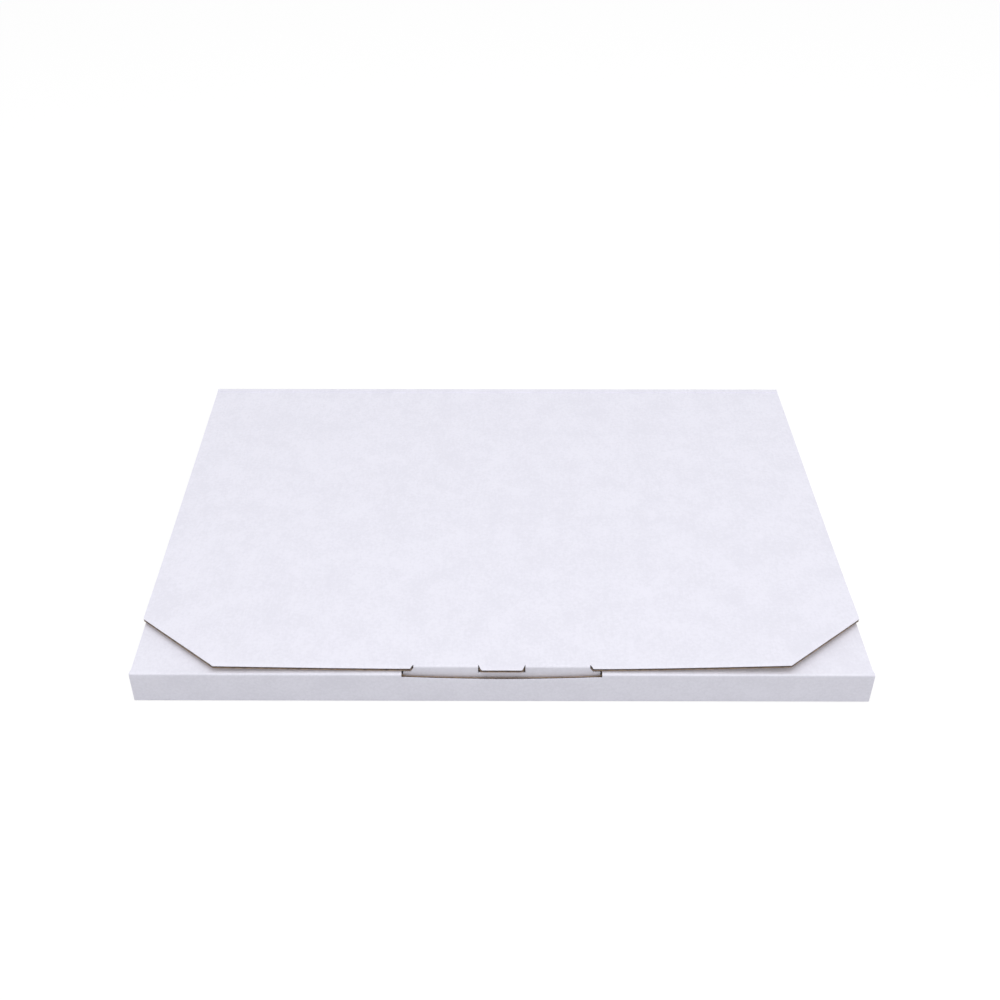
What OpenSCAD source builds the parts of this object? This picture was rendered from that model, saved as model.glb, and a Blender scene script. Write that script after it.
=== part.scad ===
// Flat mailer box, die-cut and folded from one sheet of corrugated board.
// The flutes run from front to back, so they show as small waves along the front edges.
// The sheet is split in two at one place only: the fold behind the lid, on which the lid swings.
// Origin at the middle of the base, on the surface that the box stands on. The front is -Y.

/* [Box] */
// Outer width, from side to side
box_w = 350; // [280:5:450]
// Outer depth, from the front wall to the hinge fold
box_d = 250; // [220:5:350]
// Outer height with the lid shut
box_h = 20.5; // [18:0.5:60]

/* [Board] */
// Thickness of the board
board_t = 2.3; // [1.6:0.1:3]
// Thickness of each facing paper
liner_t = 0.3; // [0.2:0.05:0.4]
// Thickness of the fluted paper between the facings
medium_t = 0.25; // [0.2:0.05:0.35]
// Length of one full wave of the flutes
flute_pitch = 5.15; // [4:0.05:8]
// How far a flute stays open behind a cut edge
flute_reach = 5; // [2:0.5:8]
// Radius on the outside of a fold
fold_r = 1; // [0.4:0.1:1.5]

/* [Lid] */
// Distance of the lid's front edge behind the front wall
lid_setback = 1.8; // [1.5:0.1:3]
// Width of the cut across each front corner of the lid
corner_cut_w = 39.5; // [20:0.5:70]
// Depth of the cut across each front corner of the lid
corner_cut_d = 33; // [15:1:60]

/* [Tuck tab] */
// Width of the tab at its fold
tab_w = 83; // [60:1:120]
// Length of the tab, down from the top of the lid
tab_len = 14; // [10:0.5:14]
// How far the tab's ears stand out below its fold, on each side
tab_ear = 5; // [2:0.5:8]
// How much narrower the tab is at its tip than at its ears, on each side
tab_taper = 6.5; // [2:0.5:10]
// Radius of the two corners at the tip
tab_corner_r = 5; // [2:0.5:7]
// Gap between the tab's outer face and the inside of the front wall
tab_gap = 0.5; // [0.5:0.1:2]
// How far out the slit on each side of the tab has run when it reaches the lid's front edge
tab_slit = 1.5; // [0.5:0.1:2]

/* [Finger lip] */
// Width of the lip that stays flat in the middle of the tab
lip_w = 22; // [14:0.5:40]
// How much narrower the lip is at its front edge, on each side
lip_taper = 1.3; // [0.2:0.1:2]
// Radius of the lip's two front corners
lip_corner_r = 1.2; // [0.5:0.1:2]
// Distance of the lip's front edge behind the front wall's outer face
lip_setback = 0.7; // [0.5:0.1:1.4]
// Width of the slit on each side of the lip
lip_slit = 0.2; // [0.1:0.1:1]
// Height of the window that the lip leaves in the tab
lip_window_h = 1.5; // [1:0.5:3]

/* [Slot] */
// Room in the slot on each side of the tab's ears
slot_side_play = 0.6; // [0.4:0.1:3]
// Depth of the slot's ends below the top of the front wall
slot_end_drop = 1.9; // [0.5:0.1:3]
// How much deeper the slot is in its middle, where its edge bows down
slot_bow = 1.3; // [0.3:0.1:3]
// Room in the slot behind the tab
slot_play = 1; // [0.5:0.1:3]

/* [Top flaps] */
// Depth of the front flap, which lies under the lid
front_flap_d = 60; // [45:1:90]
// How far the front flap's ends are set in from the sides
front_flap_inset = 0.5; // [0.2:0.1:2]
// Cut across each rear corner of the front flap
front_flap_cut = 16; // [6:1:30]
// Width of each side flap, which lies under the front flap
side_flap_w = 60; // [30:1:100]
// Cut across the inner corners of each side flap
side_flap_cut = 22; // [8:1:28]

/* [Clearances] */
// Gap between two layers of board that lie on each other
layer_gap = 0.3; // [0.2:0.05:0.6]
// Gap between a side wall's ends and the front and rear walls
corner_gap = 0.4; // [0.2:0.1:1.5]

/* [Hidden] */
$fn = 64;
board_white = [0.93, 0.92, 0.96];
over = 1; // how far a cutter runs past the face that it cuts
slit_run = 0.3; // how far a slit runs behind the crease of the tab
slit_tight = 0.15; // width of a slit where it ends
front_y = -box_d / 2;
rear_y = box_d / 2;
side_x = box_w / 2;
lid_under = box_h - board_t;
wall_h = lid_under - layer_gap;
side_wall_h = wall_h - board_t - layer_gap;
side_wall_len = box_d - 2 * (board_t + corner_gap);
inner_front_y = front_y + board_t;
front_flap_y = front_y + front_flap_d;
front_flap_x = side_x - front_flap_inset;
hinge_y = rear_y - board_t / 2;
hinge_z = box_h - board_t / 2;
lid_front_y = front_y + lid_setback;
tab_face_y = inner_front_y + tab_gap;
tab_back_y = tab_face_y + board_t;
slot_back_y = tab_back_y + slot_play;
slot_w = tab_w + 2 * (tab_ear + slot_side_play);
slot_end_z = wall_h - slot_end_drop;
slot_low_z = slot_end_z - slot_bow;
slot_r = (pow(slot_w / 2, 2) + pow(slot_bow, 2)) / (2 * slot_bow);
slit_back_y = tab_face_y + fold_r + slit_run;
shoulder_w = side_x - tab_w / 2 - tab_slit;
lip_front_y = front_y + lip_setback;
lip_root_y = slit_back_y;
// A flute is a channel with a wide side on one facing and a narrow side on the other.
channel_h = board_t - 2 * liner_t - medium_t;
channel_narrow = 0.08 * flute_pitch;
channel_wide = 0.74 * flute_pitch;

function flutes_across(w) = round(w / flute_pitch);

// A drawing in the plane of Y and Z becomes a bar along X, and one in X and Z a bar along Y.
module along_x(len) rotate([90, 0, 90]) translate([0, 0, -len / 2]) linear_extrude(len) children();
module along_y(len) rotate([90, 0, 0]) translate([0, 0, -len / 2]) linear_extrude(len) children();

// What a fold's outside loses, where its sharp corner would be at the origin.
module fold_round() {
    difference() {
        translate([-over, -over]) square(fold_r + over);
        translate([fold_r, fold_r]) circle(fold_r);
    }
}

// The end view of one flute channel, with its wide side up.
module channel_section() {
    polygon([
        [-channel_wide / 2, channel_h], [channel_wide / 2, channel_h],
        [channel_narrow / 2, 0], [-channel_narrow / 2, 0]
    ]);
}

// The flutes of a panel that lies flat, w wide in X and centred, from y0 to y1. They alternate
// under the upper facing and on the lower one, and a lower one is centred on each side edge.
module flutes(w, y0, y1) {
    n = flutes_across(w);
    pitch = w / n;
    translate([0, y1, 0]) rotate([90, 0, 0]) linear_extrude(y1 - y0) {
        for (i = [0 : n - 1])
            translate([(i + 0.5) * pitch - w / 2, liner_t + medium_t]) channel_section();
        for (i = [0 : n])
            translate([i * pitch - w / 2, board_t - liner_t - medium_t])
                mirror([0, 1]) channel_section();
    }
}

// The two flutes that a panel's side edges lay open from end to end.
module side_grooves(w, y0, y1) {
    translate([0, y1, 0]) rotate([90, 0, 0]) linear_extrude(y1 - y0)
        for (x = [-w / 2, w / 2])
            translate([x, board_t - liner_t - medium_t]) mirror([0, 1]) channel_section();
}

// Flutes open for flute_reach behind the front edge of the panel whose plan is given.
module front_mouths(w, y0, y1) {
    difference() {
        flutes(w, y0, y1);
        translate([0, flute_reach, -over]) linear_extrude(board_t + 2 * over) children();
    }
}

// Flutes open for flute_reach ahead of the rear edge of the panel whose plan is given.
module rear_mouths(w, y0, y1) {
    difference() {
        flutes(w, y0, y1);
        translate([0, -flute_reach, -over]) linear_extrude(board_t + 2 * over) children();
    }
}

// Base, front wall and rear wall: one strip of board, seen from its end.
module base_and_walls() {
    along_x(box_w) difference() {
        union() {
            translate([front_y, 0]) square([box_d, board_t]);
            translate([front_y, 0]) square([board_t, wall_h]);
            translate([rear_y - board_t, 0]) square([board_t, wall_h]);
        }
        translate([front_y, 0]) fold_round();
        translate([front_y, wall_h]) mirror([0, 1]) fold_round();
        translate([rear_y, 0]) mirror([1, 0]) fold_round();
    }
}

// Plan of the front flap: straight at the fold, with its two rear corners cut off.
module front_flap_plan() {
    polygon([
        [-front_flap_x, front_y], [front_flap_x, front_y],
        [front_flap_x, front_flap_y - front_flap_cut], [front_flap_x - front_flap_cut, front_flap_y],
        [front_flap_cut - front_flap_x, front_flap_y], [-front_flap_x, front_flap_y - front_flap_cut]
    ]);
}

module front_flap() {
    difference() {
        translate([0, 0, wall_h - board_t]) linear_extrude(board_t) front_flap_plan();
        along_x(box_w + 2 * over) translate([front_y, wall_h]) mirror([0, 1]) fold_round();
        translate([0, 0, wall_h - board_t]) {
            rear_mouths(box_w, front_y + front_flap_d / 2, front_flap_y + over) front_flap_plan();
            side_grooves(box_w, inner_front_y, front_flap_y);
        }
    }
}

// Plan of the flap on the right, with its inner corners cut off.
module side_flap_plan() {
    half_len = side_wall_len / 2;
    polygon([
        [side_x, -half_len], [side_x, half_len], [side_x - board_t, half_len],
        [side_x - side_flap_w, half_len - side_flap_cut],
        [side_x - side_flap_w, side_flap_cut - half_len], [side_x - board_t, -half_len]
    ]);
}

// Side wall with its flap, folded in at the top.
module side_wall_and_flap() {
    flap_z = side_wall_h - board_t;
    flute_w = 2 * side_flap_w;
    half_len = side_wall_len / 2;
    difference() {
        union() {
            translate([side_x - board_t, -half_len, 0]) cube([board_t, side_wall_len, side_wall_h]);
            translate([0, 0, flap_z]) linear_extrude(board_t) side_flap_plan();
        }
        along_y(side_wall_len + 2 * over)
            translate([side_x, side_wall_h]) mirror([1, 1]) rotate(180) fold_round();
        translate([0, 0, flap_z]) intersection() {
            translate([side_x, 0, 0]) union() {
                front_mouths(flute_w, -half_len - over, 0) translate([-side_x, 0]) side_flap_plan();
                rear_mouths(flute_w, 0, half_len + over) translate([-side_x, 0]) side_flap_plan();
                side_grooves(flute_w, -half_len, half_len);
            }
            translate([0, -box_d / 2, 0]) cube([side_x - board_t, box_d, board_t]);
        }
    }
}

// The slot runs through the front flap just behind the fold, and its front edge bows down into the
// front wall.
module slot() {
    translate([-slot_w / 2, inner_front_y, wall_h - board_t - over])
        cube([slot_w, slot_back_y - inner_front_y, board_t + 2 * over]);
    translate([0, front_y + board_t / 2, 0]) along_y(board_t + 2 * over) intersection() {
        translate([-slot_w / 2, slot_low_z - over]) square([slot_w, wall_h - slot_low_z + 2 * over]);
        translate([0, slot_low_z + slot_r]) circle(slot_r, $fn = 360);
    }
}

// The front wall's flutes, open under the slot.
module slot_mouths() {
    translate([0, inner_front_y, 0]) rotate([90, 0, 0]) intersection() {
        flutes(slot_w, slot_low_z - flute_reach, wall_h + over);
        translate([-slot_w / 2, 0, 0]) cube([slot_w, box_h, board_t]);
    }
}

// The flutes that the ends of the front and rear walls lay open.
module wall_end_grooves() {
    for (side = [0, 1]) mirror([0, side, 0])
        translate([0, inner_front_y, 0]) rotate([90, 0, 0])
            side_grooves(box_w, board_t, wall_h - board_t);
}

module tray() {
    color(board_white) difference() {
        union() {
            difference() {
                base_and_walls();
                wall_end_grooves();
            }
            front_flap();
            side_wall_and_flap();
            mirror([1, 0, 0]) side_wall_and_flap();
        }
        for (turn = [0, 180]) rotate(turn)
            along_y(box_d + 2 * over) translate([-side_x, 0]) fold_round();
        slot();
        slot_mouths();
    }
}

// Plan of the lid without its tab: straight behind, with its two front corners cut off.
module lid_plan() {
    polygon([
        [-side_x, hinge_y], [-side_x, lid_front_y + corner_cut_d],
        [corner_cut_w - side_x, lid_front_y], [side_x - corner_cut_w, lid_front_y],
        [side_x, lid_front_y + corner_cut_d], [side_x, hinge_y]
    ]);
}

// The lid's flutes on both sides of the tab, open behind the front edge and the corner cuts.
module shoulder_mouths() {
    for (side = [0, 1]) mirror([side, 0, 0]) translate([side_x - shoulder_w / 2, 0, 0])
        front_mouths(shoulder_w, lid_front_y - over, hinge_y - over)
            translate([shoulder_w / 2 - side_x, 0]) lid_plan();
}

// The tab and the slits beside it take this much out of the front of the lid. The slits are tight
// behind the tab and open towards the front.
module tab_clearance() {
    half_w = tab_w / 2;
    translate([0, 0, lid_under - over]) linear_extrude(board_t + 2 * over) {
        translate([-half_w - over / 2, lid_front_y - over])
            square([tab_w + over, tab_face_y - lid_front_y + over]);
        for (side = [0, 1]) mirror([side, 0]) polygon([
            [half_w, slit_back_y], [half_w + slit_tight, slit_back_y],
            [half_w + tab_slit, lid_front_y], [half_w + tab_slit, lid_front_y - over],
            [half_w, lid_front_y - over]
        ]);
    }
}

// Shape of the tab, drawn with its fold along X and its tip towards +Y. Its ears stand out from
// where the lid's front edge was cut, and hold it in the slot.
module tab_shape() {
    ear_x = tab_w / 2 + tab_ear;
    ear_y = tab_face_y - lid_front_y;
    tip_w = 2 * (ear_x - tab_taper);
    straight = tab_len - board_t;
    round_y = straight - tab_corner_r;
    polygon([
        [-tab_w / 2, -board_t], [tab_w / 2, -board_t],
        [tab_w / 2, 0], [tab_w / 2 + tab_slit, ear_y],
        [ear_x - over, ear_y], [ear_x, ear_y + over], [tip_w / 2, round_y],
        [-tip_w / 2, round_y], [-ear_x, ear_y + over], [over - ear_x, ear_y],
        [-tab_w / 2 - tab_slit, ear_y], [-tab_w / 2, 0]
    ]);
    for (x = [tab_corner_r - tip_w / 2, tip_w / 2 - tab_corner_r])
        translate([x, straight - tab_corner_r]) circle(tab_corner_r);
    translate([tab_corner_r - tip_w / 2, 0]) square([tip_w - 2 * tab_corner_r, straight]);
}

// The tab hangs down from the front of the lid, with the lip's window at its top.
module tuck_tab() {
    straight = tab_len - board_t;
    translate([0, tab_face_y, lid_under]) rotate([-90, 0, 0]) difference() {
        linear_extrude(board_t) tab_shape();
        rear_mouths(tab_w + 2 * tab_ear, straight / 2, straight + over) tab_shape();
        translate([-lip_w / 2 - lip_slit, 0, -over])
            cube([lip_w + 2 * lip_slit, lip_window_h, board_t + 2 * over]);
    }
}

// Plan of the lip: a little narrower in front, with rounded corners.
module lip_plan() {
    front_x = lip_w / 2 - lip_taper;
    round_y = lip_front_y + lip_corner_r;
    polygon([
        [-lip_w / 2, lip_root_y + over], [-lip_w / 2, lip_root_y], [-front_x, round_y],
        [front_x, round_y], [lip_w / 2, lip_root_y], [lip_w / 2, lip_root_y + over]
    ]);
    for (x = [lip_corner_r - front_x, front_x - lip_corner_r])
        translate([x, round_y]) circle(lip_corner_r, $fn = 24);
    translate([lip_corner_r - front_x, lip_front_y])
        square([2 * (front_x - lip_corner_r), lip_corner_r]);
}

// The lip is cut out of the tab and stays level with the lid.
module finger_lip() {
    reach = lip_root_y - lip_front_y;
    difference() {
        translate([0, 0, lid_under]) linear_extrude(board_t) lip_plan();
        translate([0, lip_front_y, lid_under])
            front_mouths(lip_w, -over, reach - lip_slit) translate([-box_w, 0]) square(2 * box_w);
    }
}

module lid() {
    lip_gap = lip_w + 2 * lip_slit;
    color(board_white) {
        difference() {
            union() {
                difference() {
                    translate([0, 0, lid_under]) linear_extrude(board_t) lid_plan();
                    translate([0, 0, lid_under]) {
                        shoulder_mouths();
                        side_grooves(box_w, front_y, hinge_y);
                    }
                    tab_clearance();
                }
                tuck_tab();
            }
            translate([-tab_w / 2 - over / 2, 0, 0]) rotate([90, 0, 90]) linear_extrude(tab_w + over)
                translate([tab_face_y, box_h]) mirror([0, 1]) fold_round();
            translate([-lip_gap / 2, lid_front_y - over, lid_under - over])
                cube([lip_gap, lip_root_y - lid_front_y + over, board_t + 2 * over]);
        }
        finger_lip();
        translate([0, hinge_y, hinge_z]) rotate([0, 90, 0])
            cylinder(h = box_w, r = board_t / 2, center = true);
    }
}

tray();
lid();
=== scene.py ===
import math

import bmesh
import bpy
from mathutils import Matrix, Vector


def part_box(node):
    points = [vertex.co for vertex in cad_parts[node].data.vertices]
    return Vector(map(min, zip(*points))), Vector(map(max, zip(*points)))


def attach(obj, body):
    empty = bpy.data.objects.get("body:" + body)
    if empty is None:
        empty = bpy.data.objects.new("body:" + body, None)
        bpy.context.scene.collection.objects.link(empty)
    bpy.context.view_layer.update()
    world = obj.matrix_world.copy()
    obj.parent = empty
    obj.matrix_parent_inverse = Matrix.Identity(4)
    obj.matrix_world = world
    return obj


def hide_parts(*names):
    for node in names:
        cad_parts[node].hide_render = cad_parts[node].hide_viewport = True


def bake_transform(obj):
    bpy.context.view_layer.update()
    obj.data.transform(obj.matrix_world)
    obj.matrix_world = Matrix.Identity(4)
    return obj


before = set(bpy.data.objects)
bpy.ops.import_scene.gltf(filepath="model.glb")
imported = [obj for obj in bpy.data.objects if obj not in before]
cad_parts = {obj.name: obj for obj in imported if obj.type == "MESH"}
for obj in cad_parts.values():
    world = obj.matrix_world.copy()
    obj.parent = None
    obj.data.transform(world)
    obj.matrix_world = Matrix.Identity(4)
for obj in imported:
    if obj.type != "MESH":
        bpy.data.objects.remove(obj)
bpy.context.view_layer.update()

# White outer facing of the tray: one sheet of paper from the rear wall, under the base and up the
# front wall to the front flap, with the two side walls and their flaps. It is the smooth side of
# the corrugated board, folded round at each crease.
MM = 0.001
tray_low, tray_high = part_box("tray")
lid_low, lid_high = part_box("lid")
side = tray_high.x
front = tray_low.y
rear = tray_high.y
wall_top = tray_high.z
lid_top = lid_high.z
board = 2.3 * MM
paper = 0.3 * MM
layer_gap = 0.3 * MM
crease = 1.0 * MM
side_wall_end = rear - board - 0.4 * MM
side_wall_top = wall_top - board - layer_gap
rear_wall_end = wall_top - 0.9 * MM
front_flap_end = front + 60 * MM
front_flap_cut = 16 * MM
front_flap_side = side - 0.5 * MM
side_flap_end = side - 60 * MM
side_flap_cut = 22 * MM
slot_side = 47.1 * MM
slot_rear = front + 6.1 * MM
slot_end_z = wall_top - 1.9 * MM
slot_bow = 1.3 * MM
slot_columns = 48
crushed = 0.45
crush = (1 - crushed) * (board / 2 - paper)
slot_push = 0.15 * MM
slot_pull = 2 * crush - slot_push
crush_start = wall_top - 5.5 * MM
crush_full = slot_end_z - slot_bow
SNAP = 0.02 * MM


def near(a, b):
    return abs(a - b) < SNAP


def put_down():
    """Leaves the piece that is being worked on, with nothing selected."""
    if bpy.context.object and bpy.context.object.mode != "OBJECT":
        bpy.ops.object.mode_set(mode="OBJECT")
    bpy.ops.object.select_all(action="DESELECT")


def work_on(piece):
    """Makes a piece the only one selected, and the active one."""
    put_down()
    bpy.context.view_layer.objects.active = piece
    piece.select_set(True)


def edit(piece):
    """Opens a piece in edit mode, with nothing selected."""
    work_on(piece)
    bpy.ops.object.mode_set(mode="EDIT")
    bpy.ops.mesh.select_mode(type="VERT")
    bpy.ops.mesh.select_all(action="DESELECT")


def pick(test):
    """Selects the points whose place passes the test, and the edges and faces between them."""
    bpy.ops.mesh.select_all(action="DESELECT")
    mesh = bpy.context.object.data
    points = bmesh.from_edit_mesh(mesh)
    for point in points.verts:
        point.select = bool(test(point.co))
    points.select_flush(True)
    bmesh.update_edit_mesh(mesh)


def cut_away(test):
    """Deletes the faces whose middle passes the test."""
    mesh = bpy.context.object.data
    points = bmesh.from_edit_mesh(mesh)
    waste = [face for face in points.faces if test(face.calc_center_median())]
    bmesh.ops.delete(points, geom=waste, context="FACES")
    bmesh.update_edit_mesh(mesh)


def score(place, normal, clear=False, test=None):
    """Cuts a straight line across a piece, and clears what lies beyond it if asked."""
    if test:
        pick(test)
    else:
        bpy.ops.mesh.select_all(action="SELECT")
    length = math.hypot(*normal)
    bpy.ops.mesh.bisect(
        plane_co=place,
        plane_no=[part / length for part in normal],
        clear_outer=clear,
        threshold=SNAP / 10,
    )


def sheet(name, low_x, high_x, low_y, high_y, z, columns=1, rows=1):
    """A flat sheet that faces up."""
    put_down()
    middle = ((low_x + high_x) / 2, (low_y + high_y) / 2, z)
    bpy.ops.mesh.primitive_grid_add(
        x_subdivisions=columns, y_subdivisions=rows, size=1, location=middle
    )
    piece = bpy.context.object
    piece.name = name
    piece.data.name = name
    piece.scale = (high_x - low_x, high_y - low_y, 1)
    bpy.ops.object.transform_apply(location=True, rotation=True, scale=True)
    return piece


def run_on(x=0, y=0, z=0, widen=(1, 1, 1)):
    """Runs the selected edge on to a new panel, whose far end may be wider or narrower."""
    bpy.ops.mesh.extrude_region_move(TRANSFORM_OT_translate={"value": (x, y, z)})
    if widen != (1, 1, 1):
        bpy.ops.transform.resize(value=widen, center_override=(0, 0, 0))


def fold(centre, axis, degrees, steps=6):
    """Folds the selected edge round a crease."""
    bpy.ops.mesh.spin(
        steps=steps, angle=-math.radians(degrees), center=centre, axis=axis
    )


def apply_modifier(piece, kind, **settings):
    work_on(piece)
    modifier = piece.modifiers.new(kind.title(), kind)
    for key, value in settings.items():
        setattr(modifier, key, value)
    bpy.ops.object.modifier_apply(modifier=modifier.name)


def thicken(piece, thickness, offset=-1, even=True):
    """Gives a sheet its thickness, behind the side that it faces."""
    apply_modifier(
        piece, "SOLIDIFY", thickness=thickness, offset=offset, use_even_offset=even
    )


def die_cut(piece, die):
    """Cuts out of a piece what lies inside a die."""
    apply_modifier(piece, "BOOLEAN", operation="DIFFERENCE", solver="EXACT", object=die)


def smooth_folds(piece):
    """Shades folds round and cut edges sharp, with the flat panels left flat."""
    work_on(piece)
    bpy.ops.object.shade_smooth_by_angle(angle=math.radians(40))
    apply_modifier(piece, "WEIGHTED_NORMAL", keep_sharp=True, weight=80)


def tray_sheet(name, depth):
    """The tray's paper at a depth into the board, from 0 on the outside to the whole board."""
    x = side - depth
    y = rear - depth
    radius = max(crease - depth, 0.25 * MM)
    top = wall_top - depth
    side_top = side_wall_top - depth
    piece = sheet(name, -side, side, radius - y, y - radius, depth)
    edit(piece)
    bpy.ops.mesh.select_all(action="SELECT")
    bpy.ops.mesh.flip_normals()
    for line in (x - radius, radius - x, slot_side, -slot_side):
        score((line, 0, 0), (1, 0, 0))
    for line in (side_wall_end, -side_wall_end):
        score((0, line, 0), (0, 1, 0))
    cut_away(lambda c: abs(c.x) > x - radius and abs(c.y) < side_wall_end)
    pick(lambda c: near(c.y, radius - y))
    fold((0, radius - y, depth + radius), (1, 0, 0), -90)
    run_on(z=crush_start - depth - radius)
    run_on(z=top - radius - crush_start)
    fold((0, radius - y, top - radius), (1, 0, 0), -90)
    narrow = front_flap_side / side
    straight = front_flap_end - front_flap_cut
    run_on(y=board, widen=(narrow, 1, 1))
    run_on(y=straight - (radius - y) - board)
    narrow = (front_flap_side - front_flap_cut) / front_flap_side
    run_on(y=front_flap_cut, widen=(narrow, 1, 1))
    pick(lambda c: near(c.y, y - radius) and near(c.z, depth))
    fold((0, y - radius, depth + radius), (1, 0, 0), 90)
    run_on(z=rear_wall_end - depth - radius)
    for turn in (1, -1):
        edge = turn * (x - radius)
        pick(lambda c: near(c.x, edge) and abs(c.y) < side_wall_end + SNAP and near(c.z, depth))
        fold((edge, 0, depth + radius), (0, 1, 0), -90 * turn)
        run_on(z=side_top - depth - 2 * radius)
        fold((edge, 0, side_top - radius), (0, 1, 0), -90 * turn)
        run_on(x=-turn * (board - depth))
        shorter = (side_wall_end - side_flap_cut) / side_wall_end
        reach = x - radius - (board - depth) - side_flap_end
        run_on(x=-turn * reach, widen=(1, shorter, 1))
    bpy.ops.object.mode_set(mode="OBJECT")
    return piece


class Value:
    """One output of a material's nodes. Arithmetic on it adds the Math nodes."""

    def __init__(self, finish, socket):
        self.finish = finish
        self.socket = socket

    def math(self, operation, a, b=0.0):
        return self.finish.add("ShaderNodeMath", {"operation": operation}, {0: a, 1: b})

    def __add__(self, other):
        return self.math("ADD", self, other)

    def __radd__(self, other):
        return self.math("ADD", other, self)

    def __sub__(self, other):
        return self.math("SUBTRACT", self, other)

    def __rsub__(self, other):
        return self.math("SUBTRACT", other, self)

    def __mul__(self, other):
        return self.math("MULTIPLY", self, other)

    def __rmul__(self, other):
        return self.math("MULTIPLY", other, self)


class Nodes:
    """The nodes of a material or of the world, all added by one method."""

    def __init__(self, owner):
        owner.use_nodes = True
        self.owner = owner
        self.tree = owner.node_tree
        self.tree.nodes.clear()

    def add(self, kind, settings, values, output=0):
        node = self.tree.nodes.new(kind)
        for key, setting in settings.items():
            setattr(node, key, setting)
        for key, value in values.items():
            if isinstance(value, Value):
                self.tree.links.new(value.socket, node.inputs[key])
            else:
                node.inputs[key].default_value = value
        return Value(self, node.outputs[output]) if node.outputs else None

    def surface(self, shader, kind="ShaderNodeOutputMaterial"):
        self.add(kind, {}, {"Surface": shader})
        return self.owner


class Finish(Nodes):
    """The look of a material, laid out in the piece's own coordinates."""

    def __init__(self, name):
        super().__init__(bpy.data.materials.new(name))
        self.place = self.add("ShaderNodeTexCoord", {}, {}, "Object")

    def stretched(self, x, y, z):
        """The place on the piece, scaled along each axis."""
        return self.add("ShaderNodeMapping", {}, {"Vector": self.place, "Scale": (x, y, z)})

    def noise(self, scale, detail=2.0, place=None, roughness=0.5):
        return self.add(
            "ShaderNodeTexNoise",
            {},
            {
                "Vector": place or self.place,
                "Scale": scale,
                "Detail": detail,
                "Roughness": roughness,
            },
        )

    def between(self, low, high, amount):
        """A mix of two colours."""
        return self.add(
            "ShaderNodeMix",
            {"data_type": "RGBA"},
            {0: amount, 6: low, 7: high},
            2,
        )

    def ramp(self, value, low, high):
        """Rises from 0 to 1 as the value goes from low to high."""
        return self.add(
            "ShaderNodeMapRange",
            {"interpolation_type": "SMOOTHSTEP"},
            {"Value": value, "From Min": low, "From Max": high},
        )


def colour(red, green, blue):
    """A linear colour from the three levels of 0 to 255 that a screen shows."""
    shares = [level / 255 for level in (red, green, blue)]
    return (*[((share + 0.055) / 1.055) ** 2.4 for share in shares], 1)


def white_paper():
    """Smooth white paper with a faint cloudy formation and very fine fibres."""
    paper_finish = Finish("white_liner")
    cloud = paper_finish.noise(70, 3)
    mottle = paper_finish.noise(650, 3, roughness=0.6)
    fibres = paper_finish.noise(900, 1, paper_finish.stretched(1, 0.25, 1))
    tone = 0.45 * mottle + 0.35 * cloud + 0.2 * fibres
    shade = paper_finish.ramp(tone, 0.38, 0.62)
    base = paper_finish.between(colour(232, 231, 242), colour(239, 238, 249), shade)
    grain = 0.6 * mottle + 0.4 * fibres
    bump = paper_finish.add(
        "ShaderNodeBump", {}, {"Strength": 0.12, "Distance": 0.0002, "Height": grain}
    )
    shader = paper_finish.add(
        "ShaderNodeBsdfPrincipled",
        {},
        {
            "Base Color": base,
            "Roughness": 0.58 + 0.12 * mottle,
            "Specular IOR Level": 0.35,
            "Normal": bump,
        },
    )
    return paper_finish.surface(shader)


white_liner = white_paper()


def box_die(name, low, high, columns=1):
    """A die with straight sides, from its lowest to its highest corner."""
    die = sheet(name, low[0], high[0], low[1], high[1], low[2], columns)
    edit(die)
    bpy.ops.mesh.select_all(action="SELECT")
    bpy.ops.mesh.extrude_region_move(TRANSFORM_OT_translate={"value": (0, 0, high[2] - low[2])})
    bpy.ops.mesh.select_all(action="SELECT")
    bpy.ops.mesh.normals_make_consistent(inside=False)
    bpy.ops.object.mode_set(mode="OBJECT")
    return die


def slot_column(number):
    """Where one of the columns stands that the slot's width is divided into."""
    return slot_side * (2 * number / slot_columns - 1)


# The slot through the front fold: straight behind, and a shallow arc across the wall's top.
arc_die = box_die(
    "slot_arc_die",
    (-slot_side, front - 2 * MM, slot_end_z),
    (slot_side, front + board + 0.05 * MM, wall_top + 2 * MM),
    slot_columns,
)
edit(arc_die)
for column in range(slot_columns + 1):
    across = slot_column(column)
    pick(lambda c: near(c.x, across) and near(c.z, slot_end_z))
    drop = slot_bow * (1 - (across / slot_side) ** 2)
    bpy.ops.transform.translate(value=(0, 0, -drop))
bpy.ops.object.mode_set(mode="OBJECT")
slot_die = box_die(
    "slot_flap_die",
    (-slot_side, front + board - 0.05 * MM, wall_top - board - 0.6 * MM),
    (slot_side, slot_rear, wall_top + 2 * MM),
)


def score_slot(depth):
    """Scores the front wall's paper under the slot, where the die presses it as it cuts."""

    def on_wall(c):
        return near(c.y, front + depth) and c.z > crush_start - SNAP and abs(c.x) < slot_side + SNAP

    score((0, 0, crush_full), (0, 0, 1), test=on_wall)
    for column in range(1, slot_columns):
        score((slot_column(column), 0, 0), (1, 0, 0), test=on_wall)


def press_slot(piece, push):
    """Presses the front wall's paper towards the middle of the board along the slot."""
    edit(piece)
    reach = slot_column(slot_columns - 1) + SNAP
    level = crush_start + SNAP
    pick(lambda c: abs(c.x) < reach and c.z > level and c.y < front + board + SNAP)
    bpy.ops.transform.translate(value=(0, push, 0))
    bpy.ops.object.mode_set(mode="OBJECT")


tray_outside = tray_sheet("tray_outside", 0)
edit(tray_outside)
score_slot(0)
thicken(tray_outside, paper)
for die in (arc_die, slot_die):
    die_cut(tray_outside, die)
press_slot(tray_outside, slot_push)
smooth_folds(tray_outside)
tray_outside.data.materials.append(white_liner)
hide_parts("tray")
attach(tray_outside, "tray")

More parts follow.
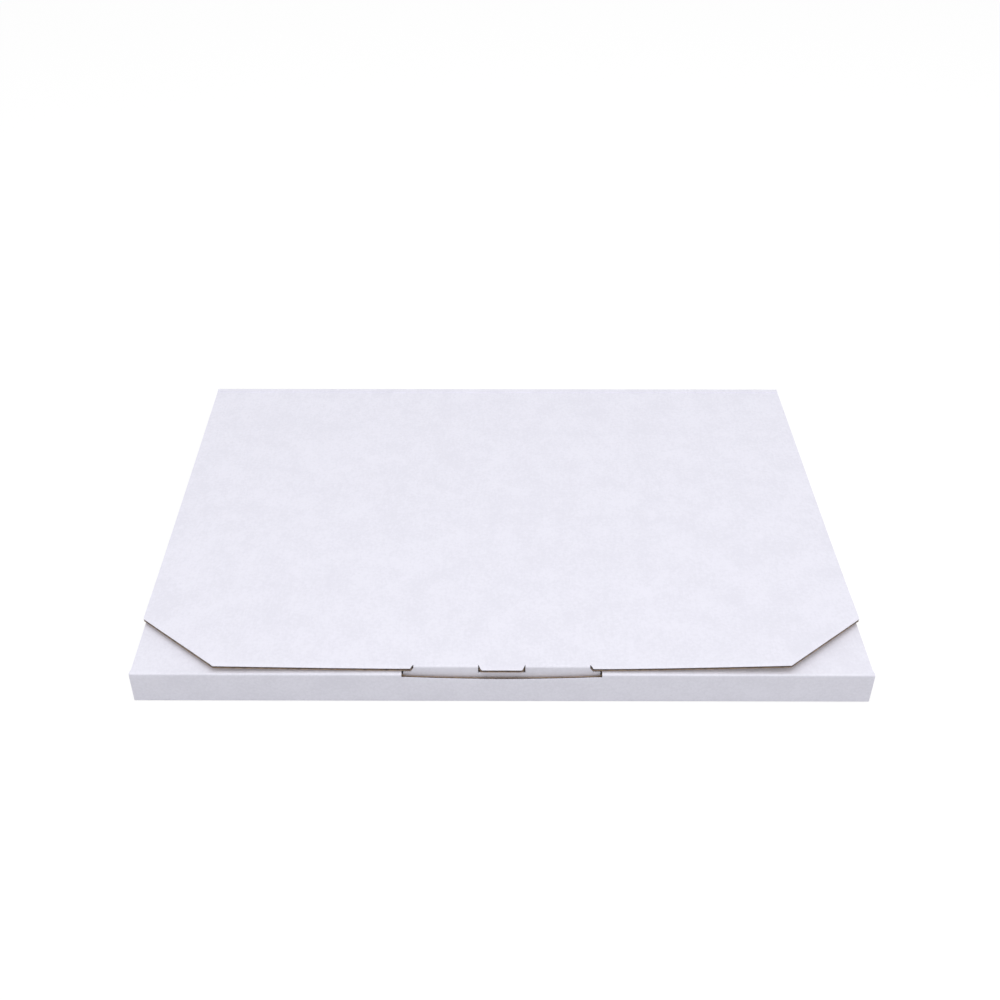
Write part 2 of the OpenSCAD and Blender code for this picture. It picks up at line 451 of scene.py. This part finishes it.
# Corrugated medium of the tray: thin brown-grey paper in waves between the two facings. The waves
# run from front to back, so the slot, the front edges and the flaps' cut edges lay them open.
waves = 68
pitch = 2 * side / waves
medium = 0.22 * MM
wave_height = (board - 2 * paper - medium) / 2
wave_points = 12


def medium_paper():
    """Rough brown-grey recycled paper, with streaks along the waves."""
    medium_finish = Finish("fluting")
    blotch = medium_finish.noise(180, 3)
    specks = medium_finish.noise(1400, 2)
    tone = medium_finish.ramp(0.55 * blotch + 0.45 * specks, 0.36, 0.64)
    base = medium_finish.between(colour(112, 99, 94), colour(140, 125, 118), tone)
    bump = medium_finish.add(
        "ShaderNodeBump", {}, {"Strength": 0.3, "Distance": 0.0002, "Height": specks}
    )
    shader = medium_finish.add(
        "ShaderNodeBsdfPrincipled",
        {},
        {
            "Base Color": base,
            "Roughness": 0.8 + 0.1 * blotch,
            "Specular IOR Level": 0.2,
            "Normal": bump,
        },
    )
    return medium_finish.surface(shader)


fluting = medium_paper()


def wave_panel(name, low, high, length, centre, rows=1):
    """Waves across X at height 0 from Y 0 to the length, cut off square at both sides."""
    piece = sheet(name, 0, pitch, 0, length, 0, wave_points, rows)
    edit(piece)
    for point in range(wave_points + 1):
        across = pitch * point / wave_points
        rise = wave_height * math.cos(2 * math.pi * point / wave_points)
        pick(lambda c: near(c.x, across))
        bpy.ops.transform.translate(value=(0, 0, rise))
    first = math.floor((low - centre) / pitch)
    count = math.ceil((high - centre) / pitch) - first
    apply_modifier(piece, "ARRAY", count=count, use_merge_vertices=True, merge_threshold=SNAP)
    work_on(piece)
    piece.location.x = centre + first * pitch
    bpy.ops.object.transform_apply(location=True)
    edit(piece)
    score((low, 0, 0), (-1, 0, 0), clear=True)
    score((high, 0, 0), (1, 0, 0), clear=True)
    bpy.ops.object.mode_set(mode="OBJECT")
    return piece


def set_in_place(piece, place, turn=(0, 0, 0)):
    work_on(piece)
    piece.location = place
    piece.rotation_euler = [math.radians(a) for a in turn]
    bpy.ops.object.transform_apply(location=True, rotation=True, scale=True)


def join(pieces, name):
    work_on(pieces[0])
    for piece in pieces[1:]:
        piece.select_set(True)
    bpy.ops.object.join()
    pieces[0].name = name
    pieces[0].data.name = name
    return pieces[0]


core = board / 2
wall_start = paper
base_waves = wave_panel("base_waves", -side + board, side - board, 2 * rear - 2 * board, 0)
set_in_place(base_waves, (0, -rear + board, core))
front_waves = wave_panel("front_waves", -side, side, slot_end_z - wall_start, 0)
set_in_place(front_waves, (0, front + core, wall_start), (90, 0, 0))
edit(front_waves)
for level in (crush_start, crush_full):
    score((0, 0, level), (0, 0, 1))
pick(lambda c: c.z > crush_full - SNAP and abs(c.x) < slot_side + 2 * MM)
bpy.ops.transform.resize(value=(1, crushed, 1), center_override=(0, front + core, 0))
bpy.ops.transform.translate(value=(0, (slot_push - slot_pull) / 2, 0))
rear_waves = wave_panel("rear_waves", -side, side, rear_wall_end - wall_start, 0)
set_in_place(rear_waves, (0, rear - core, wall_start), (90, 0, 0))
flap_waves = wave_panel(
    "flap_waves", -front_flap_side, front_flap_side, front_flap_end - front - board, 0
)
set_in_place(flap_waves, (0, front + board, wall_top - core))
edit(flap_waves)
for turn in (1, -1):
    corner = (turn * (front_flap_side - front_flap_cut), front_flap_end, 0)
    score(corner, (turn, 1, 0), clear=True)
parts = [base_waves, front_waves, rear_waves, flap_waves]
for turn in (1, -1):
    wall_waves = wave_panel("wall_waves", paper, side_wall_top - paper, 2 * side_wall_end, 0)
    set_in_place(wall_waves, (turn * (side - core), -side_wall_end, 0), (0, -90, 0))
    parts.append(wall_waves)
    flap = wave_panel("side_waves", side_flap_end, side - board, 2 * side_wall_end, 0)
    set_in_place(flap, (0, -side_wall_end, side_wall_top - core))
    edit(flap)
    for end in (1, -1):
        corner = (side - board, end * side_wall_end, 0)
        score(corner, (-side_flap_cut, end * (side - board - side_flap_end), 0), clear=True)
    if turn < 0:
        bpy.ops.object.mode_set(mode="OBJECT")
        flap.scale.x = -1
        bpy.ops.object.transform_apply(scale=True)
    parts.append(flap)
for part in parts:
    thicken(part, medium, offset=0, even=False)
die_cut(front_waves, arc_die)
die_cut(flap_waves, slot_die)
tray_fluting = join(parts, "tray_fluting")
bpy.ops.object.shade_smooth_by_angle(angle=math.radians(50))
tray_fluting.data.materials.append(fluting)
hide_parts("tray")
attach(tray_fluting, "tray")

# Brown inner facing of the tray: kraft paper against the contents, glued to the waves and creased
# sharply at the folds.


def kraft_paper():
    """Brown kraft paper with long pale and dark fibres and a cloudy formation."""
    kraft_finish = Finish("kraft_inside")
    cloud = kraft_finish.noise(60, 4)
    along = kraft_finish.noise(500, 2, kraft_finish.stretched(1, 0.12, 1))
    across = kraft_finish.noise(620, 2, kraft_finish.stretched(0.2, 1, 1))
    specks = kraft_finish.noise(1500, 1)
    tone = 0.28 * cloud + 0.3 * along + 0.24 * across + 0.18 * specks
    shade = kraft_finish.ramp(tone, 0.36, 0.64)
    plain = kraft_finish.between(colour(158, 137, 119), colour(180, 158, 138), shade)
    dark = kraft_finish.ramp(along * across, 0.34, 0.42)
    base = kraft_finish.between(plain, colour(150, 118, 86), 0.5 * dark)
    bump = kraft_finish.add(
        "ShaderNodeBump",
        {},
        {"Strength": 0.25, "Distance": 0.0002, "Height": 0.5 * along + 0.5 * across},
    )
    shader = kraft_finish.add(
        "ShaderNodeBsdfPrincipled",
        {},
        {
            "Base Color": base,
            "Roughness": 0.74 + 0.12 * cloud,
            "Specular IOR Level": 0.25,
            "Normal": bump,
        },
    )
    return kraft_finish.surface(shader)


kraft_inside = kraft_paper()
tray_inside = tray_sheet("tray_inside", board)
edit(tray_inside)
flap_under = wall_top - board
fold_start = flap_under - 0.25 * MM
score((0, slot_rear, 0), (0, 1, 0), test=lambda c: near(c.z, flap_under))
cut_away(lambda c: abs(c.x) < slot_side and c.y < slot_rear and c.z > fold_start)
pick(lambda c: abs(c.x) < slot_side + SNAP and near(c.z, fold_start) and near(c.y, front + board))
run_on(z=slot_end_z + 0.3 * MM - fold_start)
score_slot(board)
thicken(tray_inside, paper, offset=1)
die_cut(tray_inside, arc_die)
press_slot(tray_inside, -slot_pull)
smooth_folds(tray_inside)
tray_inside.data.materials.append(kraft_inside)
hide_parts("tray")
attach(tray_inside, "tray")
for die in (arc_die, slot_die):
    bpy.data.objects.remove(die)

# White outer facing of the lid: the same sheet as the tray's, beyond the rear fold. Its front
# corners are cut off, a tuck tab folds down from its middle into the slot, and a small finger lip
# cut out of the tab stays level with it. The front corners of the real one spring up a little.
lid_rear = rear - 4 * MM
lid_front = front + 1.8 * MM
corner_w = 39.5 * MM
corner_d = 33 * MM
tab_face = front + 2.8 * MM
tab_tip = lid_top - 14 * MM
tab_side = 41.5 * MM
ear_side = 46.5 * MM
ear_corner = 0.5 * MM
ear_straight = 2.5 * MM
ear_top = lid_top - board - 1 * MM
tip_side = 40 * MM
tip_corner = 5 * MM
taper_end = tab_tip + tip_corner
slit_back = tab_side + 0.15 * MM
slit_mouth = tab_side + 1.5 * MM
neck_side = slit_mouth - 0.1 * MM
slit_rear = front + 4.1 * MM
lip_front = front + 0.7 * MM
lip_root = slit_rear
lip_side = 11.0 * MM
lip_tip_side = 9.7 * MM
lip_corner = 1.2 * MM
lip_slit_side = 11.1 * MM
window_low = lid_top - board - 1.5 * MM
lid_columns = 28
lid_rows = 20
crush_reach = 1.8 * MM


def behind_edge(place):
    """How far a place lies behind the lid's front edge or the nearer cut corner."""
    run = math.hypot(corner_w, corner_d)
    out = (abs(place.x) - side + corner_w) * corner_d - (place.y - lid_front) * corner_w
    return min(place.y - lid_front, -out / run)


def score_edges(gap):
    """Scores the lid at a distance behind its front edge and its cut corners."""
    score((0, lid_front + gap, 0), (0, 1, 0))
    run = math.hypot(corner_w, corner_d)
    for turn in (1, -1):
        corner = (turn * (side - corner_w - gap * run / corner_d), lid_front, 0)
        score(corner, (turn * corner_d, -corner_w, 0))


def round_corner(centre, radius, sideways, onward, test=None, slant=0):
    """Rounds a corner with four cuts, from the directions that its two sides face."""
    for step in range(1, 5):
        angle = math.radians(slant + (90 - slant) * step / 5)
        share = math.cos(angle)
        rest = math.sin(angle)
        out = [share * a + rest * b for a, b in zip(sideways, onward)]
        place = [middle + radius * part for middle, part in zip(centre, out)]
        score(place, out, True, test)


def trim_tab(on_tab=lambda c: True):
    """Trims the tab's sides from its ears to its narrower tip, and rounds its corners."""
    score((0, 0, taper_end), (0, 0, 1), test=on_tab)
    for turn in (1, -1):
        end = (turn * tip_side, 0, taper_end)
        slope = (turn * (ear_top - ear_straight - taper_end), 0, tip_side - ear_side)
        outward = (turn, 0, 0)
        score(end, slope, True, lambda c: on_tab(c) and c.z > taper_end - SNAP)
        score(end, outward, True, lambda c: on_tab(c) and c.z < taper_end + SNAP)
        centre = (turn * (tip_side - tip_corner), 0, taper_end)
        down = (0, 0, -1)
        round_corner(
            centre, tip_corner, outward, down, lambda c: on_tab(c) and c.z < taper_end + SNAP
        )
        centre = (turn * (ear_side - ear_corner), 0, ear_top - ear_corner)
        round_corner(
            centre,
            ear_corner,
            outward,
            (0, 0, 1),
            lambda c: on_tab(c) and turn * c.x > neck_side - SNAP and c.z < ear_top + SNAP,
        )


def round_lip(on_lip=lambda c: True):
    slant = math.atan2(lip_side - lip_tip_side, lip_root - lip_front)
    inset = lip_corner * (1 - math.sin(slant)) / math.cos(slant)
    for turn in (1, -1):
        centre = (turn * (lip_tip_side - inset), lip_front + lip_corner, 0)
        directions = (turn, 0, 0), (0, -1, 0)
        round_corner(centre, lip_corner, *directions, on_lip, math.degrees(slant))


def between_slits(c, rear_end):
    """Whether a place lies between the slits beside the tab, which open towards the front."""
    opened = max(0, slit_rear - c.y) / (slit_rear - lid_front)
    return abs(c.x) < slit_back + (slit_mouth - slit_back) * opened and c.y < rear_end


def lid_sheet(name, depth):
    """The lid's paper at a depth below its top, with the tab and the lip in one piece with it."""
    z = lid_top - depth
    radius = max(crease - depth, 0.25 * MM)
    face = tab_face + depth
    root = max(slit_rear, face + radius + 0.1 * MM)
    piece = sheet(name, -side, side, lid_front, lid_rear, z, lid_columns, lid_rows)
    edit(piece)
    for turn in (1, -1):
        corner = (turn * (side - corner_w), lid_front, 0)
        score(corner, (turn * corner_d, -corner_w, 0), clear=True)
        for line in (slit_back, tab_side, lip_slit_side, lip_side):
            score((turn * line, 0, 0), (1, 0, 0))
    for line in (slit_rear, root):
        score((0, line, 0), (0, 1, 0))
    for turn in (1, -1):
        slant = (turn * (slit_rear - lid_front), slit_mouth - slit_back, 0)
        score((turn * slit_back, slit_rear, 0), slant, test=lambda c: c.y < slit_rear + SNAP)
    for gap in (0.4 * crush_reach, crush_reach):
        score_edges(gap)
    pull = crush if depth else -crush
    pick(lambda c: behind_edge(c) < SNAP)
    bpy.ops.transform.translate(value=(0, 0, 0.7 * pull))
    pick(lambda c: behind_edge(c) < 0.4 * crush_reach + SNAP)
    bpy.ops.transform.translate(value=(0, 0, 0.3 * pull))
    cut_away(lambda c: between_slits(c, root))
    pick(lambda c: lip_slit_side - SNAP < abs(c.x) < tab_side + SNAP and near(c.y, root))
    run_on(y=face + radius - root)
    fold((0, face + radius, z - radius), (1, 0, 0), 90)
    run_on(z=ear_top - z + radius)
    pick(lambda c: near(abs(c.x), tab_side) and near(c.z, ear_top))
    bpy.ops.transform.resize(value=(neck_side / tab_side, 1, 1), center_override=(0, 0, 0))
    pick(lambda c: abs(c.x) > lip_side + SNAP and near(c.y, face) and near(c.z, ear_top))
    run_on(z=window_low - ear_top)
    run_on(z=tab_tip - window_low)
    pick(lambda c: near(abs(c.x), lip_slit_side) and c.z < window_low + SNAP)
    bpy.ops.mesh.bridge_edge_loops(number_cuts=1)
    for turn in (1, -1):
        pick(lambda c: near(c.x, turn * neck_side) and near(c.y, face) and c.z < ear_top + SNAP)
        run_on(x=turn * (ear_side - neck_side))
    trim_tab(lambda c: near(c.y, face))
    pick(lambda c: abs(c.x) < lip_side + SNAP and near(c.y, root) and near(c.z, z))
    if root > lip_root + SNAP:
        run_on(y=lip_root - root)
    reach = lip_root - lip_front
    width = lip_side
    for step, sink in ((reach - crush_reach, 0), (0.6 * crush_reach, 0.3), (0.4 * crush_reach, 0.7)):
        narrow = 1 - (lip_side - lip_tip_side) * step / reach / width
        width = width * narrow
        run_on(y=-step, z=sink * pull, widen=(narrow, 1, 1))
    round_lip(lambda c: abs(c.x) < lip_side + SNAP and c.y < lip_root + SNAP and c.z > ear_top)
    bpy.ops.object.mode_set(mode="OBJECT")
    return piece


lift_columns = 29
lift_rows = 25
lift_right = 2.4 * MM
lift_left = 1.4 * MM
lift_start = 50 * MM
lift_run = 85 * MM
lift_fade = 38 * MM
put_down()
bpy.ops.object.add(type="LATTICE", location=(0, (lid_front + lid_rear) / 2, lid_top))
corner_lift = bpy.context.object
corner_lift.scale = (2 * side, lid_rear - lid_front, 4 * board)
corner_lift.data.points_u = lift_columns
corner_lift.data.points_v = lift_rows
corner_lift.data.points_w = 2
for direction in ("u", "v", "w"):
    setattr(corner_lift.data, "interpolation_type_" + direction, "KEY_LINEAR")
for point in corner_lift.data.points:
    across = 2 * point.co.x * side
    back = (point.co.y + 0.5) * (lid_rear - lid_front)
    height = lift_right if across > 0 else lift_left
    bow = max(0, (abs(across) - lift_start) / lift_run) ** 1.3
    lift = height * bow * math.exp(-back / lift_fade) * (1 - (point.co.y + 0.5) ** 4)
    point.co_deform.z += lift / (4 * board)


def spring_up(piece):
    """Lifts the lid's front corners as the real board does."""
    apply_modifier(piece, "LATTICE", object=corner_lift)


lid_outside = lid_sheet("lid_outside", 0)
spring_up(lid_outside)
thicken(lid_outside, paper)
smooth_folds(lid_outside)
lid_outside.data.materials.append(white_liner)
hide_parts("lid")
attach(lid_outside, "lid")

# Corrugated medium of the lid, running from front to back and down the tab. The lid's front edge,
# its cut corners, the slits and the lip lay it open.
lid_waves = wave_panel("lid_waves", -side, side, lid_rear - lid_front, 0, lid_rows)
set_in_place(lid_waves, (0, lid_front, lid_top - core))
edit(lid_waves)
for turn in (1, -1):
    corner = (turn * (side - corner_w), lid_front, 0)
    score(corner, (turn * corner_d, -corner_w, 0), clear=True)
score_edges(crush_reach)
pick(lambda c: behind_edge(c) < SNAP)
flatten = {"value": (1, 1, crushed), "center_override": (0, 0, lid_top - core)}
bpy.ops.transform.resize(**flatten)
slit_die = box_die(
    "slit_die",
    (-slit_back, lid_front, lid_top - 2 * board),
    (slit_back, slit_rear, lid_top + board),
)
edit(slit_die)
pick(lambda c: near(c.y, lid_front))
spread = 2 * slit_mouth / slit_back - 1
bpy.ops.transform.resize(value=(spread, 1, 1), center_override=(0, 0, 0))
bpy.ops.transform.translate(value=(0, lid_front - slit_rear, 0))
thicken(lid_waves, medium, offset=0, even=False)
die_cut(lid_waves, slit_die)
neck_waves = wave_panel("neck_waves", -neck_side, neck_side, lid_top - board - ear_top, 0)
set_in_place(neck_waves, (0, tab_face + core, ear_top), (90, 0, 0))
edit(neck_waves)
for turn in (1, -1):
    score((turn * neck_side, 0, ear_top), (turn * 1.2, 0, 0.8), clear=True)
tab_waves = wave_panel("tab_waves", -ear_side, ear_side, ear_top - tab_tip, 0)
set_in_place(tab_waves, (0, tab_face + core, tab_tip), (90, 0, 0))
edit(tab_waves)
trim_tab()
window_die = box_die(
    "window_die",
    (-lip_slit_side, tab_face - 5 * MM, window_low),
    (lip_slit_side, lip_root, lid_top - board + SNAP),
)
for part in (neck_waves, tab_waves):
    thicken(part, medium, offset=0, even=False)
    die_cut(part, window_die)
lip_waves = wave_panel("lip_waves", -lip_side, lip_side, lip_root - lip_front, 0)
set_in_place(lip_waves, (0, lip_front, lid_top - core))
edit(lip_waves)
score((0, lip_front + crush_reach, 0), (0, 1, 0))
for turn in (1, -1):
    taper = (turn * (lip_root - lip_front), lip_tip_side - lip_side, 0)
    score((turn * lip_side, lip_root, 0), taper, clear=True)
round_lip()
pick(lambda c: c.y < lip_front + lip_corner - SNAP)
bpy.ops.transform.resize(**flatten)
thicken(lip_waves, medium, offset=0, even=False)
lid_fluting = join([lid_waves, neck_waves, tab_waves, lip_waves], "lid_fluting")
spring_up(lid_fluting)
work_on(lid_fluting)
bpy.ops.object.shade_smooth_by_angle(angle=math.radians(50))
lid_fluting.data.materials.append(fluting)
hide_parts("lid")
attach(lid_fluting, "lid")
for die in (slit_die, window_die):
    bpy.data.objects.remove(die)

# Brown inner facing of the lid, the tab and the lip's underside: the same kraft paper as the
# tray's, glued to the lid's waves.
lid_inside = lid_sheet("lid_inside", board)
spring_up(lid_inside)
thicken(lid_inside, paper, offset=1)
smooth_folds(lid_inside)
lid_inside.data.materials.append(kraft_inside)
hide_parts("lid")
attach(lid_inside, "lid")
bpy.data.objects.remove(corner_lift)

# Rear fold: the crease between the rear wall and the lid. The board is crushed here, so only its
# two facings run on from the wall to the lid. They are built only in the closed pose.
hinge_z = lid_top - board / 2


def fold_skin(name, low_y, up, radius):
    """A strip of paper from the rear wall's top, up and round the fold to the lid."""
    piece = sheet(name, -side, side, low_y, low_y + MM, rear_wall_end)
    edit(piece)
    pick(lambda c: c.y > low_y + SNAP)
    bpy.ops.mesh.delete(type="VERT")
    pick(lambda c: True)
    steps = 4
    for step in range(steps):
        run_on(z=(up - rear_wall_end) / steps)
    fold((0, low_y - radius, up), (1, 0, 0), 90, 10)
    for step in range(steps):
        run_on(y=(lid_rear - low_y + radius) / steps)
    bpy.ops.object.mode_set(mode="OBJECT")
    return piece


def bend_with_lid(piece, look):
    """Shades a strip of the fold round, gives it its paper and leaves it where it was built."""
    smooth_folds(piece)
    piece.data.materials.append(look)
    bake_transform(piece)
    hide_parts("lid")


fold_outside = fold_skin("fold_outside", rear, hinge_z, board / 2)
thicken(fold_outside, paper)
bend_with_lid(
    fold_outside,
    white_liner,
)
inner_turn = 0.25 * MM
fold_inside = fold_skin("fold_inside", rear - board, lid_top - board - inner_turn, inner_turn)
thicken(fold_inside, paper, offset=1)
bend_with_lid(
    fold_inside,
    kraft_inside,
)

# Pale floor, white backdrop and soft studio light from above and from the front. The floor lies
# just below the base, so that the two faces don't meet at the same height.
floor_z = -0.1 * MM
put_down()
bpy.ops.mesh.primitive_plane_add(size=6, location=(0, 0, floor_z))
floor = bpy.context.object
floor.name = "floor"
floor_look = Nodes(bpy.data.materials.new("floor"))


def seen(nodes):
    """1 where the camera, a reflection or a clear piece looks, and 0 for all other light."""
    direct = nodes.add("ShaderNodeLightPath", {}, {}, "Is Camera Ray")
    mirrored = nodes.add("ShaderNodeLightPath", {}, {}, "Is Glossy Ray")
    through = nodes.add("ShaderNodeLightPath", {}, {}, "Is Transmission Ray")
    settings = {"operation": "ADD", "use_clamp": True}
    return nodes.add("ShaderNodeMath", settings, {0: direct + mirrored, 1: through})


plain = floor_look.add("ShaderNodeBsdfDiffuse", {}, {"Color": (0.45, 0.45, 0.45, 1)})
shade = floor_look.add("ShaderNodeBsdfDiffuse", {}, {"Color": (0.22, 0.22, 0.22, 1)})
glow = floor_look.add("ShaderNodeEmission", {}, {"Color": (0.83, 0.83, 0.83, 1)})
bright = floor_look.add("ShaderNodeAddShader", {}, {0: shade, 1: glow})
floor_mix = {0: seen(floor_look), 1: plain, 2: bright}
floor_shader = floor_look.add("ShaderNodeMixShader", {}, floor_mix)
floor.data.materials.append(floor_look.surface(floor_shader))

world = bpy.data.worlds.new("studio")
bpy.context.scene.world = world
studio = Nodes(world)
levels = {"Value": seen(studio), "To Min": 0.592, "To Max": 1.0}
level = studio.add("ShaderNodeMapRange", {}, levels)
backdrop = studio.add("ShaderNodeBackground", {}, {"Color": (1, 1, 1, 1), "Strength": level})
studio.surface(backdrop, "ShaderNodeOutputWorld")


def softbox(name, place, turn, width, height, energy):
    bpy.ops.object.light_add(
        type="AREA", location=place, rotation=[math.radians(angle) for angle in turn]
    )
    lamp = bpy.context.object
    lamp.name = name
    lamp.data.shape = "RECTANGLE"
    lamp.data.size = width
    lamp.data.size_y = height
    lamp.data.energy = energy


softbox("top_softbox", (0.1, -0.15, 1.3), (-6, 4, 0), 1.4, 1.1, 6.2)
softbox("front_softbox", (0.15, -1.3, 1.0), (52, 0, 6), 1.3, 0.9, 6)

yaw = math.radians(0.15)
camera_x = -10.55 * MM
camera_y = -544.07 * MM
camera_z = 432.6 * MM
camera_tilt = 36.72
bpy.ops.object.camera_add(
    location=(
        camera_x * math.cos(yaw) - camera_y * math.sin(yaw),
        camera_x * math.sin(yaw) + camera_y * math.cos(yaw),
        camera_z,
    ),
    rotation=(math.radians(90 - camera_tilt), 0, yaw),
)
camera = bpy.context.object
camera.data.sensor_width = 36
camera.data.lens = 44.88
camera.data.shift_x = 0.02
camera.data.clip_start = 0.01
bpy.context.scene.camera = camera
bpy.context.scene.view_settings.view_transform = "Standard"
